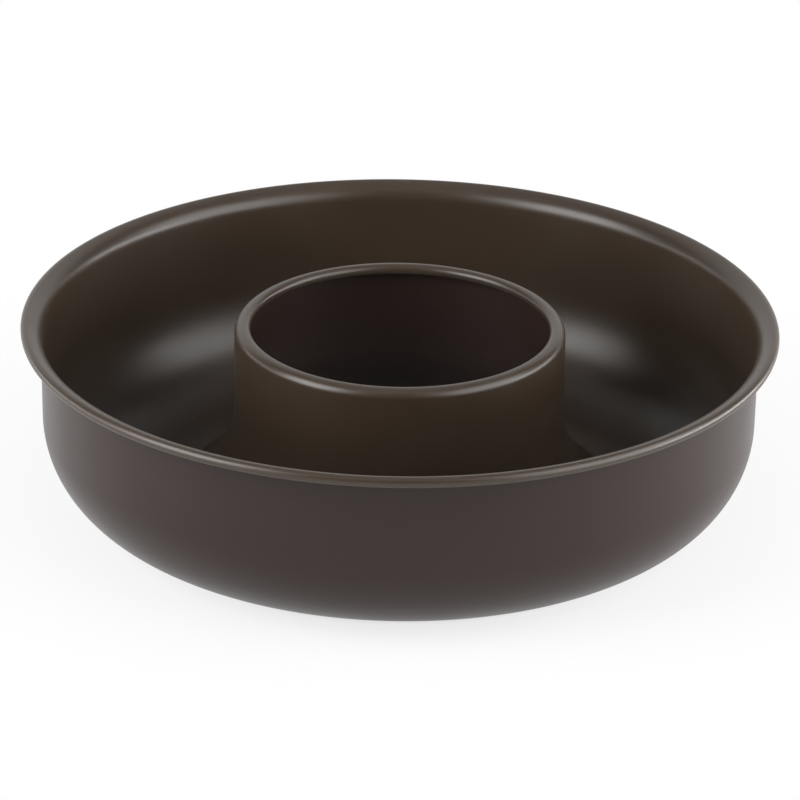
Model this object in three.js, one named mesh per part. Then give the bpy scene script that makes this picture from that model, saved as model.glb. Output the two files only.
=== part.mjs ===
// Savarin mould: a ring-shaped baking pan of thin coated steel, standing on its base with the open side up.
// Millimetres, +Z up. The ring's axis is Z and the standing face lies at Z = 0.
// Both sheets are drawn as a mid-line of straights and bends, thickened, and turned about the axis.
// Radii add up from the tube outward, so the rim comes out 240 across.
import * as THREE from 'three';

// Both sheets
const HEIGHT = 63;               // from the standing face to the crest of the rolled rim
const PAN_SHEET = 0.7;           // steel of the ring pan
const TUBE_SHEET = 0.7;          // steel of the centre tube

// Centre tube
const TUBE_DIAMETER = 105;       // outer face of the tube, just under its lip
const TUBE_DROP = 2;             // tube's crest below the crest of the rim
const TUBE_DRAFT = 0.3;          // degrees the tube widens on its way down
const LIP_RADIUS = 3;            // outside radius where the wall turns in to the lip
const LIP_RUN = 0.25;            // flat of the lip before it rolls down
const TUBE_ROLL_OPEN = 110;      // degrees short of a full roll
const FOOT_FLARE_RADIUS = 29;    // radius of the hollow where the wall spreads into the foot
const FOOT_SLOPE = 50;           // degrees the foot slopes down
const FOOT_RUN = 11.1;           // straight of the slope
const FOOT_RADIUS = 8;           // radius of the hollow where the slope meets the floor

// Lap seam: the tube's flange lies on a sunk ring of the pan floor, flush with the rest of the floor
const LAP_WIDTH = 7.5;           // flat overlap of the two sheets
const SEAM_GAP = 0.3;            // between the flange and the sunk ring under it
const STEP_RADIUS = 0.45;        // inside radius of both bends of the step beside the flange

// Pan from its floor to its rim
const FLOOR_RUN = 0.75;          // flat of the floor between the step and the round bottom
const BOTTOM_RADIUS = 31;        // outside radius of the round bottom
const WALL_DRAFT = 0.6;          // degrees the wall leans out as it rises
const FLARE_RADIUS = 5.15;       // radius under the flare, where the wall turns out to the rim
const FLARE_RISE = 20;           // degrees the flare still climbs where the roll begins
const FLARE_RUN = 0.85;          // straight of the flare before it rolls down
const RIM_ROLL_OPEN = 75;        // degrees short of a full roll

// Wire hoops inside the rolls
const RIM_WIRE_DIAMETER = 1.5;
const TUBE_WIRE_DIAMETER = 1.5;
const WIRE_CLEARANCE = 0.3;      // between a wire and the roll around it

// Smoothness of the faceted surfaces
const TURN_SEGMENTS = 48;
const WIRE_SIDES = 8;
const BEND_STEP = 11;            // degrees, for wide bends
const ROLL_STEP = 22;            // degrees, for the small rolls and the step

const COAT = { color: 0x37302d, roughness: 0.42, metalness: 0.1 };
const WIRE_STEEL = { color: 0x8d8f92, roughness: 0.5, metalness: 1 };

const sine = (degrees) => Math.sin(THREE.MathUtils.degToRad(degrees));
const cosine = (degrees) => Math.cos(THREE.MathUtils.degToRad(degrees));

// Walks along a sheet's mid-line in the plane of radius and height. Heading 0 goes outward, 90 goes up.
class MidLine {
  constructor(radius, height, heading) {
    this.at = new THREE.Vector2(radius, height);
    this.heading = heading;
    this.points = [];
    this.mark();
  }

  mark() {
    const left = new THREE.Vector2(-sine(this.heading), cosine(this.heading));
    this.points.push({ at: this.at.clone(), left });
  }

  straight(length) {
    this.at.x += length * cosine(this.heading);
    this.at.y += length * sine(this.heading);
    this.mark();
    return this;
  }

  // Turns left for a positive angle and right for a negative one.
  bend(radius, degrees, step) {
    const count = Math.max(1, Math.round(Math.abs(degrees) / step));
    const first = this.heading;
    const reach = Math.sign(degrees) * radius;
    const centre = new THREE.Vector2(this.at.x - reach * sine(first), this.at.y + reach * cosine(first));
    for (let i = 1; i <= count; i += 1) {
      this.heading = first + degrees * i / count;
      this.at.set(centre.x + reach * sine(this.heading), centre.y - reach * cosine(this.heading));
      this.mark();
    }
    this.lastCentre = centre;
    return this;
  }

  // The sheet's closed outline: along its right face, then back along its left face.
  outline(thickness) {
    const face = (shift) => this.points.map(({ at, left }) => at.clone().addScaledVector(left, shift));
    const right = face(-thickness / 2);
    return [...right, ...face(thickness / 2).reverse(), right[0].clone()];
  }
}

function turned(name, line, sheet) {
  const geometry = new THREE.LatheGeometry(line.outline(sheet), TURN_SEGMENTS).rotateX(Math.PI / 2);
  const mesh = new THREE.Mesh(geometry, new THREE.MeshStandardMaterial(COAT));
  mesh.name = name;
  return mesh;
}

// A hoop that lies at the centre of the last bend of a sheet, which is the roll around it.
function wireHoop(name, wireDiameter, line) {
  const geometry = new THREE.TorusGeometry(line.lastCentre.x, wireDiameter / 2, WIRE_SIDES, TURN_SEGMENTS);
  const mesh = new THREE.Mesh(geometry, new THREE.MeshStandardMaterial(WIRE_STEEL));
  mesh.name = name;
  mesh.position.z = line.lastCentre.y;
  return mesh;
}

// Mid-line radius of a roll that holds a wire with its clearance all round.
const rollRadius = (wireDiameter, sheet) => wireDiameter / 2 + WIRE_CLEARANCE + sheet / 2;

// Mid-line heights of the sunk ring that stands on the table, the flange on it, and the floor beside them
const sunkRingZ = PAN_SHEET / 2;
const flangeZ = PAN_SHEET + SEAM_GAP + TUBE_SHEET / 2;
const floorTopZ = PAN_SHEET + SEAM_GAP + TUBE_SHEET;
const panFloorZ = floorTopZ - PAN_SHEET / 2;

// Tube: the wall runs from the top of the foot up to the lip.
const footBend = FOOT_RADIUS + TUBE_SHEET / 2;
const footFlareBend = FOOT_FLARE_RADIUS + TUBE_SHEET / 2;
const footTurn = 90 - TUBE_DRAFT;
const footRise = footBend * (1 - cosine(FOOT_SLOPE)) + FOOT_RUN * sine(FOOT_SLOPE)
  + footFlareBend * (cosine(FOOT_SLOPE) - cosine(footTurn));
const footSpread = footBend * sine(FOOT_SLOPE) + FOOT_RUN * cosine(FOOT_SLOPE)
  + footFlareBend * (sine(footTurn) - sine(FOOT_SLOPE));
const lipBend = LIP_RADIUS - TUBE_SHEET / 2;
const footTopZ = flangeZ + footRise;
const wallTopZ = HEIGHT - TUBE_DROP - TUBE_SHEET / 2 - lipBend * (1 - sine(TUBE_DRAFT));
const tubeWallRun = (wallTopZ - footTopZ) / cosine(TUBE_DRAFT);
const footTopRadius = TUBE_DIAMETER / 2 - TUBE_SHEET / 2 + tubeWallRun * sine(TUBE_DRAFT);
const footRadius = footTopRadius + footSpread;

// From the flange's edge: in along the flange, up the foot and the wall, in over the lip, rolled down.
const tubeLine = new MidLine(footRadius + LAP_WIDTH, flangeZ, 180)
  .straight(LAP_WIDTH)
  .bend(footBend, -FOOT_SLOPE, BEND_STEP)
  .straight(FOOT_RUN)
  .bend(footFlareBend, FOOT_SLOPE - footTurn, BEND_STEP)
  .straight(tubeWallRun)
  .bend(lipBend, 90 - TUBE_DRAFT, ROLL_STEP)
  .straight(LIP_RUN)
  .bend(rollRadius(TUBE_WIRE_DIAMETER, TUBE_SHEET), 360 - TUBE_ROLL_OPEN, ROLL_STEP);

// Pan: the step climbs from the sunk ring to the floor by two equal and opposite bends.
const stepBend = STEP_RADIUS + PAN_SHEET / 2;
const stepTurn = THREE.MathUtils.radToDeg(Math.acos(1 - (panFloorZ - sunkRingZ) / (2 * stepBend)));

// The pan's wall fills the height between the round bottom and the flare.
const bottomBend = BOTTOM_RADIUS - PAN_SHEET / 2;
const bottomTurn = 90 - WALL_DRAFT;
const flareBend = FLARE_RADIUS + PAN_SHEET / 2;
const flareTurn = bottomTurn - FLARE_RISE;
const rimRoll = rollRadius(RIM_WIRE_DIAMETER, PAN_SHEET);
const bottomTopZ = panFloorZ + bottomBend * (1 - cosine(bottomTurn));
const rollStartZ = HEIGHT - PAN_SHEET / 2 - rimRoll * (1 - cosine(FLARE_RISE));
const flareClimb = flareBend * (cosine(FLARE_RISE) - cosine(bottomTurn)) + FLARE_RUN * sine(FLARE_RISE);
const panWallRun = (rollStartZ - flareClimb - bottomTopZ) / cosine(WALL_DRAFT);

// From the edge of the floor's hole: out along the sunk ring, up the step, round the bottom, up the wall,
// out over the flare, rolled down.
const panLine = new MidLine(footRadius, sunkRingZ, 0)
  .straight(LAP_WIDTH)
  .bend(stepBend, stepTurn, ROLL_STEP)
  .bend(stepBend, -stepTurn, ROLL_STEP)
  .straight(FLOOR_RUN)
  .bend(bottomBend, bottomTurn, BEND_STEP)
  .straight(panWallRun)
  .bend(flareBend, -flareTurn, BEND_STEP)
  .straight(FLARE_RUN)
  .bend(rimRoll, -FLARE_RISE, ROLL_STEP)
  .bend(rimRoll, FLARE_RISE + RIM_ROLL_OPEN - 360, ROLL_STEP);

const mould = new THREE.Group();
mould.name = 'savarin_mould';
mould.add(turned('ring_pan', panLine, PAN_SHEET));
mould.add(turned('centre_tube', tubeLine, TUBE_SHEET));
mould.add(wireHoop('rim_wire', RIM_WIRE_DIAMETER, panLine));
mould.add(wireHoop('tube_wire', TUBE_WIRE_DIAMETER, tubeLine));

export default mould;
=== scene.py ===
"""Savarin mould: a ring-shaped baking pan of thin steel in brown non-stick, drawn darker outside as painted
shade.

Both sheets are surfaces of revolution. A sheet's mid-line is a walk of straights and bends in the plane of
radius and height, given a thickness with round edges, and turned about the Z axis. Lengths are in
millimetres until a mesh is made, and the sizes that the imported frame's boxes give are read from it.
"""
import math

import bpy
import numpy as np
from mathutils import Matrix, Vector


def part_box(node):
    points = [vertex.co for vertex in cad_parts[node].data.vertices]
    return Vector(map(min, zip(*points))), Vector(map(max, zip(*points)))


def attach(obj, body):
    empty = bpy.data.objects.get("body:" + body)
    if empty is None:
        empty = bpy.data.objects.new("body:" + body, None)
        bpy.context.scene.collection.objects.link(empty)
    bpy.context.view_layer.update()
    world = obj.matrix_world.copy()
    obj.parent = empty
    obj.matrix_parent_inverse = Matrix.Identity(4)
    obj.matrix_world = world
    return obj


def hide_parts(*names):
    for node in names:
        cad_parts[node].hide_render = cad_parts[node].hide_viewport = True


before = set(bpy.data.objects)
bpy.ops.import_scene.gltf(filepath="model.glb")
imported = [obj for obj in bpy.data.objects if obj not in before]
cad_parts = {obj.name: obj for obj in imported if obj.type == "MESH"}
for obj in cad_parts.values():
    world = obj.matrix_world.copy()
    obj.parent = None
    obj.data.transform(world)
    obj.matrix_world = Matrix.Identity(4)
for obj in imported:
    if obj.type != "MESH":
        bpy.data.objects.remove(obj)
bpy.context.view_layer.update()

MM = 0.001                    # metres in a millimetre

# Sheets and bends that the frame's boxes don't give, as in the part's source
SHEET = 0.7                   # thickness of both sheets
WIRE_CLEARANCE = 0.3          # between a wire and the roll around it
SEAM_GAP = 0.3                # between the tube's flange and the sunk ring under it
LAP_WIDTH = 7.5               # flat overlap of the two sheets
STEP_RADIUS = 0.45            # inside radius of both bends of the step beside the flange
FLOOR_RUN = 0.75              # flat between the step and the round bottom
BOTTOM_RADIUS = 31            # outside radius of the round bottom
WALL_DRAFT = 0.6              # degrees the outer wall leans out
FLARE_RADIUS = 5.15           # radius under the flare below the rim
FLARE_RISE = 20               # degrees the flare still climbs where the roll begins
FLARE_RUN = 0.85              # straight of the flare before the roll
RIM_ROLL_OPEN = 75            # degrees short of a full roll
FOOT_FLARE_RADIUS = 29        # hollow where the tube's wall spreads into its foot
FOOT_SLOPE = 50               # degrees the foot slopes down
FOOT_RUN = 11.1               # straight of the slope
FOOT_RADIUS = 8               # hollow where the slope meets the floor
TUBE_DRAFT = 0.3              # degrees the tube widens on its way down
LIP_RADIUS = 3                # outside radius where the tube turns in to its lip
LIP_RUN = 0.25                # flat of the lip before the roll
TUBE_ROLL_OPEN = 110          # degrees short of a full roll

SEAM_HAIRLINE = 0.02          # left between the flange's coined edge and the step beside it

# The step climbs from the sunk ring to the floor by two equal and opposite bends
STEP_BEND = STEP_RADIUS + SHEET / 2
STEP_TURN = math.degrees(math.acos(1 - (SHEET + SEAM_GAP) / (2 * STEP_BEND)))

# Spot welds that hold the lap seam, seen as shallow dimples under the sunk ring
WELD_COUNT = 18
WELD_RADIUS = 2.6
WELD_DEPTH = 0.2

# Fineness of the turned surfaces
TURN_STEPS = 360
WIDE_BEND_STEP = 3            # degrees
ROLL_STEP = 9                 # degrees
EDGE_STEP = 30                # degrees, round the edges of the sheets
STRAIGHT_STEP = 3             # millimetres
LAP_STEP = 0.75               # millimetres, for the weld dimples
COIN_POINTS = 6               # along the flange's coined edge
WIRE_SIDES = 16
CREASE_ANGLE = 40             # degrees, above which a corner isn't shaded smooth

# Coats: the dark and light shade of the clouding, the low and high roughness, and the refractive index
INSIDE_BROWNS = ("#352a20", "#3b3026")
INSIDE_INDEX = 1.5
# The outside's browns are the inside's coat drawn darker and redder: painted shade
OUTSIDE_SHADED_BROWNS = ("#281c19", "#2c201c")
OUTSIDE_INDEX = 1.39
SATIN = (0.32, 0.37)
CLOUD_SIZE = 30               # millimetres from cloud to cloud
CLOUD_SPREAD = (0.3, 0.7)     # low and high end of the clouding's noise
CLOUD_DETAIL = 3              # how often the clouds break up into smaller ones
PEEL_SIZE = 1.2               # millimetres from grain to grain of the orange peel
PEEL_DETAIL = 2
PEEL_HEIGHT = 0.2             # millimetres
PEEL_STRENGTH = 0.05

# Bare wire
WIRE_GREY = "#8d8f92"
WIRE_SHEEN = (0.35, 0.55)     # low and high roughness
WIRE_MARK_SIZE = 0.8          # millimetres from mark to mark
WIRE_MARK_DETAIL = 2

# Camera, in millimetres, fitted to the outlines of the rim, wall and tube in the photograph
CAMERA_DISTANCE = 1560
CAMERA_ELEVATION = 24.324     # degrees
CAMERA_ROLL = 0.951           # degrees, the right side a little lower
CAMERA_AIM = (0.35, 0, 34.5)
SENSOR_WIDTH = 36
LENS = 220

# Studio, in metres and degrees. Azimuth 0 is straight behind the mould, and 180 is the camera's side.
SOFTBOX_DISTANCE = 0.75
SOFTBOXES = {
    "left_softbox": {"azimuth": -118, "elevation": 29, "size": (0.47, 0.52), "radiance": 7.2},
    "right_softbox": {"azimuth": 115, "elevation": 26, "size": (0.86, 0.74), "radiance": 3.1},
    "left_strip": {"azimuth": -78, "elevation": 7, "size": (0.6, 0.18), "radiance": 2.6},
    "right_strip": {"azimuth": 82, "elevation": 7, "size": (0.66, 0.18), "radiance": 9.5}}
FLAG_DISTANCE = 0.95
FLAGS = {
    "left_flag": {"azimuth": -72, "width": 0.75, "heights": (0.24, 1.4)},
    "right_flag": {"azimuth": 62, "width": 0.75, "heights": (0.24, 1.4)},
    "front_flag": {"azimuth": 180, "width": 1.5, "heights": (0.1, 1.5)}}
BLACK_FELT = "#191919"
CANOPY = ((-1.1, -0.6), (1.1, 1.1))   # left front and right back corner of the board overhead
CANOPY_HEIGHT = 1.2
GREY_CLOTH = "#dddddd"
TENT_WHITE = "#ffffff"
FILL_LIGHT = 0.6              # strength of the tent's light on matt surfaces
TABLE_SIZE = 8
TABLE_DROP = 0.0002           # keeps the table just clear of the standing face
TABLE_WHITE = "#e7e7e7"
TABLE_GLOW = ((0.07, 0), (0.09, 0.78), (0.22, 1))   # distance from the axis, and share of glow


def sine(degrees):
    """Sine of an angle in degrees."""
    return math.sin(math.radians(degrees))


def cosine(degrees):
    """Cosine of an angle in degrees."""
    return math.cos(math.radians(degrees))


def left_of(degrees):
    """Unit normals to the left of headings, in radius and height: minus the sine, and the cosine."""
    angle = np.radians(degrees)
    return np.stack([-np.sin(angle), np.cos(angle)], -1)


def straight(length, step=STRAIGHT_STEP):
    """A straight of the mid-line: equal steps along the heading."""
    def move(at, heading):
        count = max(1, round(length / step))
        along = np.linspace(0, length, count + 1)[1:]
        ahead = np.array([cosine(heading), sine(heading)])
        return at + along[:, None] * ahead, np.full(count, float(heading))
    return move


def bend(radius, degrees, step):
    """A bend of the mid-line, left for plus degrees: its centre less the radius along each normal."""
    def move(at, heading):
        count = max(1, math.ceil(abs(degrees) / step))
        headings = heading + degrees * np.linspace(0, 1, count + 1)[1:]
        reach = math.copysign(radius, degrees)
        centre = at + reach * left_of(heading)
        return centre - reach * left_of(headings), headings
    return move


def mid_line(at, heading, *moves):
    """Points and headings of a walk: each move goes on from where the one before it ended."""
    points = [np.array([at], float)]
    headings = [np.array([heading], float)]
    for move in moves:
        more_points, more_headings = move(points[-1][-1], headings[-1][-1])
        points.append(more_points)
        headings.append(more_headings)
    return np.concatenate(points), np.concatenate(headings)


def half_round(at, heading):
    """Half round edge: the mid-line's end plus half the sheet along normals that swing half a turn."""
    return at + SHEET / 2 * left_of(heading + np.arange(EDGE_STEP, 180, EDGE_STEP))


def sheet_outline(points, headings, first_edge):
    """Closed outline of a sheet, and which of its steps are on the left face, as 0 or 1.

    It runs along the right face, round the last edge, back along the left face and round the first edge.
    A face is the mid-line plus or minus half the sheet along its normals."""
    side = SHEET / 2 * left_of(headings)
    last_edge = half_round(points[-1], headings[-1] - 180)
    outline = np.concatenate([points - side, last_edge, (points + side)[::-1], first_edge])
    is_left = np.repeat([0, 1, 0], [len(points) + len(last_edge), len(points), len(first_edge)])
    return outline, is_left


def turned(outline):
    """Turns a closed outline about Z.

    x and y are the outline's radius times the turn's cosine and sine, and z is its height."""
    turn = np.linspace(0, 2 * np.pi, TURN_STEPS, endpoint=False)[:, None]
    radius = outline[None, :, 0]
    height = np.broadcast_to(outline[None, :, 1], (TURN_STEPS, len(outline)))
    vertices = np.stack([radius * np.cos(turn), radius * np.sin(turn), height], -1).reshape(-1, 3)
    index = np.arange(len(vertices)).reshape(TURN_STEPS, len(outline))
    ahead = np.roll(index, -1, axis=0)
    quads = np.stack([index, ahead, np.roll(ahead, -1, axis=1), np.roll(index, -1, axis=1)], -1)
    return vertices, quads.reshape(-1, 4)


def weld_dimples(vertices, ring_radius):
    """Lift of the standing face over the welds, evenly spaced on a ring.

    With d the distance from the nearest weld over the weld's radius, the lift is the depth times
    the square of one less d squared, and nothing beyond the weld."""
    spacing = 2 * np.pi / WELD_COUNT
    turn = np.arctan2(vertices[:, 1], vertices[:, 0])
    along = ring_radius * ((turn + spacing / 2) % spacing - spacing / 2)
    across = np.hypot(vertices[:, 0], vertices[:, 1]) - ring_radius
    nearness = np.clip(1 - (along ** 2 + across ** 2) / WELD_RADIUS ** 2, 0, None)
    return WELD_DEPTH * nearness ** 2 * (vertices[:, 2] < SHEET / 2)


def add_piece(name, vertices, quads, materials, node, which=0):
    """Makes a smooth mesh object from millimetres, and lets it stand for a node of the frame.

    Which of the materials a face has is given for each step along the outline."""
    mesh = bpy.data.meshes.new(name)
    mesh.from_pydata(vertices * MM, [], quads)
    mesh.shade_smooth()
    mesh.set_sharp_from_angle(angle=math.radians(CREASE_ANGLE))
    for material in materials:
        mesh.materials.append(material)
    which = np.broadcast_to(which, (TURN_STEPS, len(quads) // TURN_STEPS))
    mesh.polygons.foreach_set("material_index", which.ravel().astype(np.int32))
    piece = bpy.data.objects.new(name, mesh)
    bpy.context.collection.objects.link(piece)
    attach(piece, "root")
    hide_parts(node)


def hoop_of(node):
    """Radius, height and wire diameter of a wire hoop of the frame, in millimetres."""
    low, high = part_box(node)
    diameter = (high.z - low.z) / MM
    return high.x / MM - diameter / 2, (high.z + low.z) / 2 / MM, diameter


def roll_around(node):
    """Mid-line radius of the roll around a wire hoop: half the wire, its clearance and half the sheet."""
    _, _, diameter = hoop_of(node)
    return diameter / 2 + WIRE_CLEARANCE + SHEET / 2


def linear(hex_colour):
    """Linear colour of an sRGB hex value, by the standard's two-part curve."""
    srgb = np.array([int(hex_colour[i:i + 2], 16) for i in (1, 3, 5)]) / 255
    values = np.where(srgb <= 0.04045, srgb / 12.92, ((srgb + 0.055) / 1.055) ** 2.4)
    return (*values, 1)


def add_node(tree, kind, inputs=None, **settings):
    """Adds a node. Settings are its own fields. Inputs are values, or the output sockets to link."""
    node = tree.nodes.new(kind)
    for key, value in settings.items():
        setattr(node, key, value)
    for key, value in (inputs or {}).items():
        if isinstance(value, bpy.types.NodeSocket):
            tree.links.new(value, node.inputs[key])
        else:
            node.inputs[key].default_value = value
    return node


def new_material(name):
    """A material with an empty node tree and its output."""
    material = bpy.data.materials.new(name)
    material.use_nodes = True
    tree = material.node_tree
    tree.nodes.clear()
    return material, tree, tree.nodes.new("ShaderNodeOutputMaterial")


def sprayed_coat(name, browns, index):
    """Sprayed and baked coat on steel: an even brown with faint clouds of thicker and thinner spray.

    The clouds shift its shade and its satin a little, and a fine orange peel softens what it mirrors.
    The peel is drawn about twice as coarse as a real one, so that it shows."""
    material, tree, output = new_material(name)
    dark, light = browns
    place = add_node(tree, "ShaderNodeTexCoord").outputs["Object"]
    cloud = add_node(tree, "ShaderNodeTexNoise", {
        "Vector": place, "Scale": 1 / (CLOUD_SIZE * MM), "Detail": CLOUD_DETAIL}).outputs["Fac"]
    peel = add_node(tree, "ShaderNodeTexNoise", {
        "Vector": place, "Scale": 1 / (PEEL_SIZE * MM), "Detail": PEEL_DETAIL}).outputs["Fac"]
    brown = add_node(tree, "ShaderNodeMix", {0: cloud, 6: linear(dark), 7: linear(light)}, data_type="RGBA")
    satin = add_node(tree, "ShaderNodeMapRange", {
        "Value": cloud, "From Min": CLOUD_SPREAD[0], "From Max": CLOUD_SPREAD[1],
        "To Min": SATIN[0], "To Max": SATIN[1]})
    grain = add_node(tree, "ShaderNodeBump", {
        "Height": peel, "Strength": PEEL_STRENGTH, "Distance": PEEL_HEIGHT * MM})
    coat = add_node(tree, "ShaderNodeBsdfPrincipled", {
        "Base Color": brown.outputs[2],
        "Roughness": satin.outputs["Result"],
        "IOR": index,
        "Normal": grain.outputs["Normal"]})
    tree.links.new(coat.outputs["BSDF"], output.inputs["Surface"])
    return material


def drawn_steel_wire():
    """Plain drawn steel wire: bare grey metal, mottled bright and dull by the die."""
    material, tree, output = new_material("drawn_steel_wire")
    place = add_node(tree, "ShaderNodeTexCoord").outputs["Object"]
    marks = add_node(tree, "ShaderNodeTexNoise", {
        "Vector": place, "Scale": 1 / (WIRE_MARK_SIZE * MM), "Detail": WIRE_MARK_DETAIL})
    sheen = add_node(tree, "ShaderNodeMapRange", {
        "Value": marks.outputs["Fac"], "To Min": WIRE_SHEEN[0], "To Max": WIRE_SHEEN[1]})
    steel = add_node(tree, "ShaderNodeBsdfPrincipled", {
        "Base Color": linear(WIRE_GREY), "Metallic": 1, "Roughness": sheen.outputs["Result"]})
    tree.links.new(steel.outputs["BSDF"], output.inputs["Surface"])
    return material


def background_rays(tree):
    """One for rays of the camera, gloss and glass, which show the background, and zero for matt light."""
    path = add_node(tree, "ShaderNodeLightPath")
    seen = add_node(tree, "ShaderNodeMath", {
        0: path.outputs["Is Camera Ray"], 1: path.outputs["Is Glossy Ray"]}, operation="MAXIMUM")
    seen = add_node(tree, "ShaderNodeMath", {
        0: seen.outputs["Value"], 1: path.outputs["Is Transmission Ray"]}, operation="MAXIMUM")
    return seen.outputs["Value"]


def white_table():
    """Matt white table: plain diffuse, with a white glow to camera and gloss that fades under the mould."""
    material, tree, output = new_material("matt_white_table")
    place = add_node(tree, "ShaderNodeTexCoord").outputs["Object"]
    reach = add_node(tree, "ShaderNodeVectorMath", {0: place}, operation="LENGTH")
    far = TABLE_GLOW[-1][0]
    away = add_node(tree, "ShaderNodeMath", {0: reach.outputs["Value"], 1: far}, operation="DIVIDE")
    ramp = add_node(tree, "ShaderNodeValToRGB", {"Fac": away.outputs["Value"]})
    stops = ramp.color_ramp.elements
    while len(stops) < len(TABLE_GLOW):
        stops.new(1)
    for stop, (distance, level) in zip(stops, TABLE_GLOW):
        stop.position = distance / far
        stop.color = (level, level, level, 1)
    share = add_node(tree, "ShaderNodeMath", {
        0: background_rays(tree), 1: ramp.outputs["Color"]}, operation="MULTIPLY")
    matt = add_node(tree, "ShaderNodeBsdfDiffuse", {"Color": linear(TABLE_WHITE)})
    glow = add_node(tree, "ShaderNodeEmission", {"Color": linear(TENT_WHITE), "Strength": 1})
    mix = add_node(tree, "ShaderNodeMixShader", {
        0: share.outputs["Value"], 1: matt.outputs["BSDF"], 2: glow.outputs["Emission"]})
    tree.links.new(mix.outputs["Shader"], output.inputs["Surface"])
    return material


def matt_cloth(name, shade):
    """Matt cloth of the studio's boards: plain diffuse, with no gloss."""
    material, tree, output = new_material(name)
    cloth = add_node(tree, "ShaderNodeBsdfDiffuse", {"Color": linear(shade)})
    tree.links.new(cloth.outputs["BSDF"], output.inputs["Surface"])
    return material


def ring_pan(coats):
    """The pan: along the sunk ring, up the step, round the bottom, up the wall, over the flare, rolled."""
    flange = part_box("centre_tube")[1].x / MM
    hole = flange - LAP_WIDTH
    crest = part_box("ring_pan")[1].z / MM
    floor = 2 * SHEET + SEAM_GAP - SHEET / 2
    bottom = BOTTOM_RADIUS - SHEET / 2
    bottom_turn = 90 - WALL_DRAFT
    flare = FLARE_RADIUS + SHEET / 2
    roll = roll_around("rim_wire")
    climb = flare * (cosine(FLARE_RISE) - cosine(bottom_turn)) + FLARE_RUN * sine(FLARE_RISE)
    roll_start = crest - SHEET / 2 - roll * (1 - cosine(FLARE_RISE))
    bottom_top = floor + bottom * (1 - cosine(bottom_turn))
    wall = (roll_start - climb - bottom_top) / cosine(WALL_DRAFT)
    points, headings = mid_line(
        (hole + SHEET / 2, SHEET / 2), 0,
        straight(LAP_WIDTH - SHEET / 2, LAP_STEP),
        bend(STEP_BEND, STEP_TURN, ROLL_STEP),
        bend(STEP_BEND, -STEP_TURN, ROLL_STEP),
        straight(FLOOR_RUN),
        bend(bottom, bottom_turn, WIDE_BEND_STEP),
        straight(wall),
        bend(flare, FLARE_RISE - bottom_turn, ROLL_STEP),
        straight(FLARE_RUN),
        bend(roll, RIM_ROLL_OPEN - 360, ROLL_STEP))
    outline, is_left = sheet_outline(points, headings, half_round(points[0], headings[0]))
    vertices, quads = turned(outline)
    vertices[:, 2] += weld_dimples(vertices, hole + LAP_WIDTH / 2)
    add_piece("ring_pan_sheet", vertices, quads, coats, "ring_pan", 1 - is_left)


def coined_edge(flange, high_face):
    """Edge of the flange, pressed out along the pan's step to a hairline from it.

    The step's upper bend is an arc below the floor's crest. The edge is that arc with the hairline added
    to its radius, from the flange's under face to its upper face."""
    crest = flange + 2 * STEP_BEND * sine(STEP_TURN)
    drop = STEP_BEND + SHEET / 2
    radius = drop + SEAM_HAIRLINE
    rise = np.linspace(math.asin((drop - SHEET) / radius), math.asin(drop / radius), COIN_POINTS)
    return np.array([crest, high_face - drop]) + radius * np.stack([-np.cos(rise), np.sin(rise)], -1)


def centre_tube(coats):
    """The tube: in along its flange, up the foot and the wall, in over the lip, rolled down."""
    low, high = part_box("centre_tube")
    flange = high.x / MM
    crest = high.z / MM
    flange_height = low.z / MM + SHEET / 2
    foot = FOOT_RADIUS + SHEET / 2
    foot_flare = FOOT_FLARE_RADIUS + SHEET / 2
    foot_turn = 90 - TUBE_DRAFT
    foot_rise = (foot * (1 - cosine(FOOT_SLOPE)) + FOOT_RUN * sine(FOOT_SLOPE)
                 + foot_flare * (cosine(FOOT_SLOPE) - cosine(foot_turn)))
    lip = LIP_RADIUS - SHEET / 2
    roll = roll_around("tube_wire")
    wall_top = crest - SHEET / 2 - lip * (1 - sine(TUBE_DRAFT))
    wall = (wall_top - flange_height - foot_rise) / cosine(TUBE_DRAFT)
    points, headings = mid_line(
        (flange - SHEET / 2, flange_height), 180,
        straight(LAP_WIDTH - SHEET / 2),
        bend(foot, -FOOT_SLOPE, WIDE_BEND_STEP),
        straight(FOOT_RUN),
        bend(foot_flare, FOOT_SLOPE - foot_turn, WIDE_BEND_STEP),
        straight(wall),
        bend(lip, foot_turn, ROLL_STEP),
        straight(LIP_RUN),
        bend(roll, 360 - TUBE_ROLL_OPEN, ROLL_STEP))
    outline, is_left = sheet_outline(points, headings, coined_edge(flange, flange_height + SHEET / 2))
    vertices, quads = turned(outline)
    add_piece("centre_tube_sheet", vertices, quads, coats, "centre_tube", is_left)


def wire_hoop(name, node, material):
    """A wire hoop: a circle of the wire's size turned about Z at the hoop's radius."""
    radius, height, diameter = hoop_of(node)
    around = np.linspace(0, 360, WIRE_SIDES, endpoint=False)
    outline = np.array([radius, height]) + diameter / 2 * left_of(around)
    vertices, quads = turned(outline)
    add_piece(name, vertices, quads, [material], node)


def add_camera():
    """A camera at its distance and elevation from the aim, rolled about its own axis."""
    data = bpy.data.cameras.new("camera")
    data.lens = LENS
    data.sensor_width = SENSOR_WIDTH
    camera = bpy.data.objects.new("camera", data)
    bpy.context.collection.objects.link(camera)
    aim = Matrix.Translation([value * MM for value in CAMERA_AIM])
    tilt = Matrix.Rotation(math.radians(90 - CAMERA_ELEVATION), 4, "X")
    roll = Matrix.Rotation(math.radians(CAMERA_ROLL), 4, "Z")
    camera.matrix_world = aim @ tilt @ Matrix.Translation((0, 0, CAMERA_DISTANCE * MM)) @ roll
    bpy.context.scene.camera = camera


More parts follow.
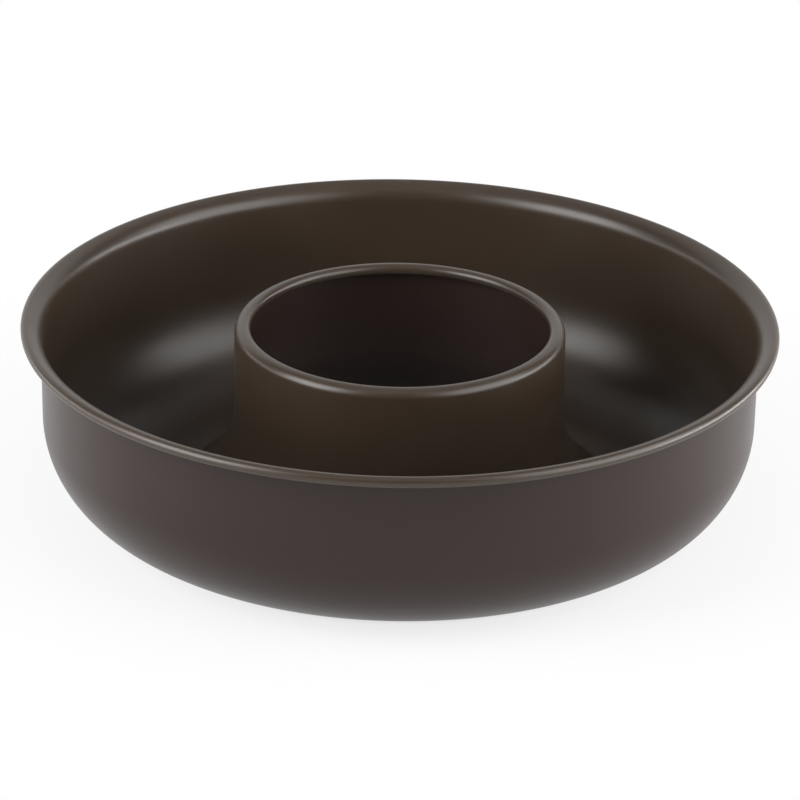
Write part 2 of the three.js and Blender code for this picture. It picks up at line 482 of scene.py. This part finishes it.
def add_softbox(name, azimuth, elevation, size, radiance):
    """A rectangular lamp that faces the mould: off along Z, tipped to its elevation, turned to its azimuth.

    Its power is its radiance times pi times its area."""
    lamp = bpy.data.lights.new(name, "AREA")
    lamp.shape = "RECTANGLE"
    lamp.size, lamp.size_y = size
    lamp.energy = radiance * math.pi * lamp.size * lamp.size_y
    box = bpy.data.objects.new(name, lamp)
    bpy.context.collection.objects.link(box)
    turn = Matrix.Rotation(math.radians(180 - azimuth), 4, "Z")
    tilt = Matrix.Rotation(math.radians(90 - elevation), 4, "X")
    box.matrix_world = turn @ tilt @ Matrix.Translation((0, 0, SOFTBOX_DISTANCE))


def add_board(name, corners, material, seen=True):
    """A flat four-cornered board of the studio, which the camera sees or not."""
    mesh = bpy.data.meshes.new(name)
    mesh.from_pydata(corners, [], [(0, 1, 2, 3)])
    mesh.materials.append(material)
    board = bpy.data.objects.new(name, mesh)
    bpy.context.collection.objects.link(board)
    board.visible_camera = seen


def add_table(material):
    """The white table under the mould."""
    half = TABLE_SIZE / 2
    sides = [(-half, -half), (half, -half), (half, half), (-half, half)]
    add_board("table", [(*place, -TABLE_DROP) for place in sides], material)


def add_flag(name, material, azimuth, width, heights):
    """A black board that stands round the mould, to keep the white tent out of its gloss on that side."""
    out = np.array([sine(azimuth), cosine(azimuth)]) * FLAG_DISTANCE
    along = np.array([cosine(azimuth), -sine(azimuth)]) * width / 2
    low, high = heights
    sides = [(out - along, low), (out + along, low), (out + along, high), (out - along, high)]
    add_board(name, [(*place, height) for place, height in sides], material, seen=False)


def add_canopy(material):
    """A grey board overhead, which dims the light from above."""
    (left, front), (right, back) = CANOPY
    sides = [(left, front), (left, back), (right, back), (right, front)]
    add_board("canopy", [(*place, CANOPY_HEIGHT) for place in sides], material, seen=False)


def add_tent():
    """The white tent: white to the camera and to gloss, and a weaker fill for the matt share of light."""
    world = bpy.data.worlds.new("white_tent")
    world.use_nodes = True
    tree = world.node_tree
    tree.nodes.clear()
    strength = add_node(tree, "ShaderNodeMapRange", {
        "Value": background_rays(tree), "To Min": FILL_LIGHT, "To Max": 1})
    glow = add_node(tree, "ShaderNodeBackground", {
        "Color": linear(TENT_WHITE), "Strength": strength.outputs["Result"]})
    output = add_node(tree, "ShaderNodeOutputWorld")
    tree.links.new(glow.outputs["Background"], output.inputs["Surface"])
    bpy.context.scene.world = world


add_camera()
add_table(white_table())
add_tent()
black_felt = matt_cloth("black_felt", BLACK_FELT)
for name, settings in FLAGS.items():
    add_flag(name, black_felt, **settings)
add_canopy(matt_cloth("grey_cloth", GREY_CLOTH))
for name, settings in SOFTBOXES.items():
    add_softbox(name, **settings)

# The food side is a warm brown that mirrors soft light.
# The outside is the same coat drawn a darker, redder brown, which is painted shade, and its lower index
# gives it less gloss.
inside = sprayed_coat("satin_nonstick_inside", INSIDE_BROWNS, INSIDE_INDEX)
outside = sprayed_coat("nonstick_outside_painted_shade", OUTSIDE_SHADED_BROWNS, OUTSIDE_INDEX)
wire = drawn_steel_wire()
ring_pan([inside, outside])
centre_tube([inside, outside])
wire_hoop("rim_hoop", "rim_wire", wire)
wire_hoop("tube_hoop", "tube_wire", wire)

bpy.context.scene.view_settings.view_transform = "Standard"
